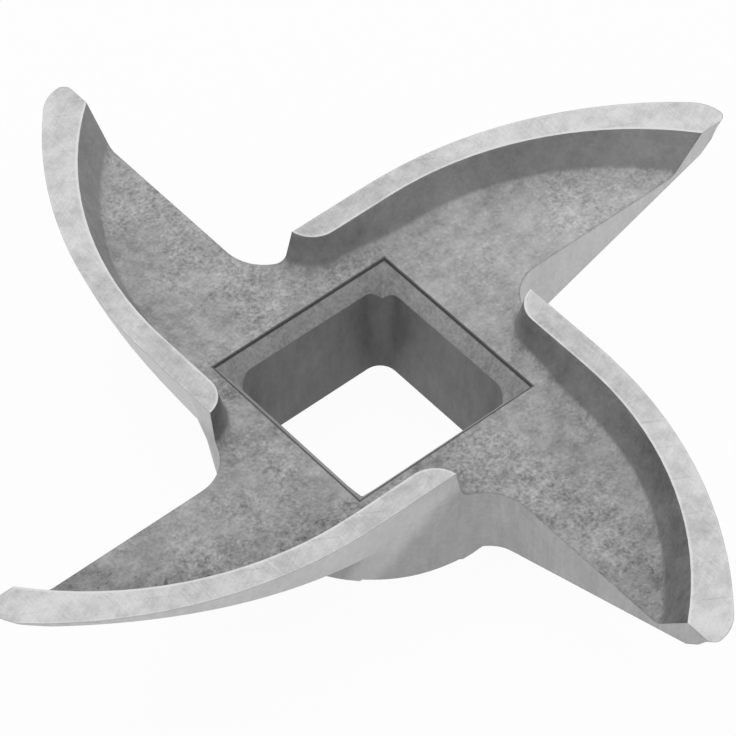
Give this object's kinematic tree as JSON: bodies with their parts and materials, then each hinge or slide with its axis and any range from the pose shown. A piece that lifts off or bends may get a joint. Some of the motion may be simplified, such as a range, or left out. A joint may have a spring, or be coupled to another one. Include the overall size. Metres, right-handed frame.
{
  "type": "meat grinder knife",
  "caption": "Cast steel grinder knife with raised ground cutting lands on curved blades and a square bore through its hub.",
  "frame": {"origin": "centre of the hub's flat bottom face, on the axis of the square bore", "axes": "+Z along the shaft axis towards the cutting lands; +Y along the radial centre line behind which the first blade's trailing face lies; the bore's flats face X and Y"},
  "size_m": [0.0976, 0.0976, 0.017],
  "materials": {
    "steel": "as-cast steel with a gritty blasted skin; the lands on top are surface ground and bright"
  },
  "bodies": {
    "root": {"grinder_knife": "steel"}
  },
  "joints": []
}
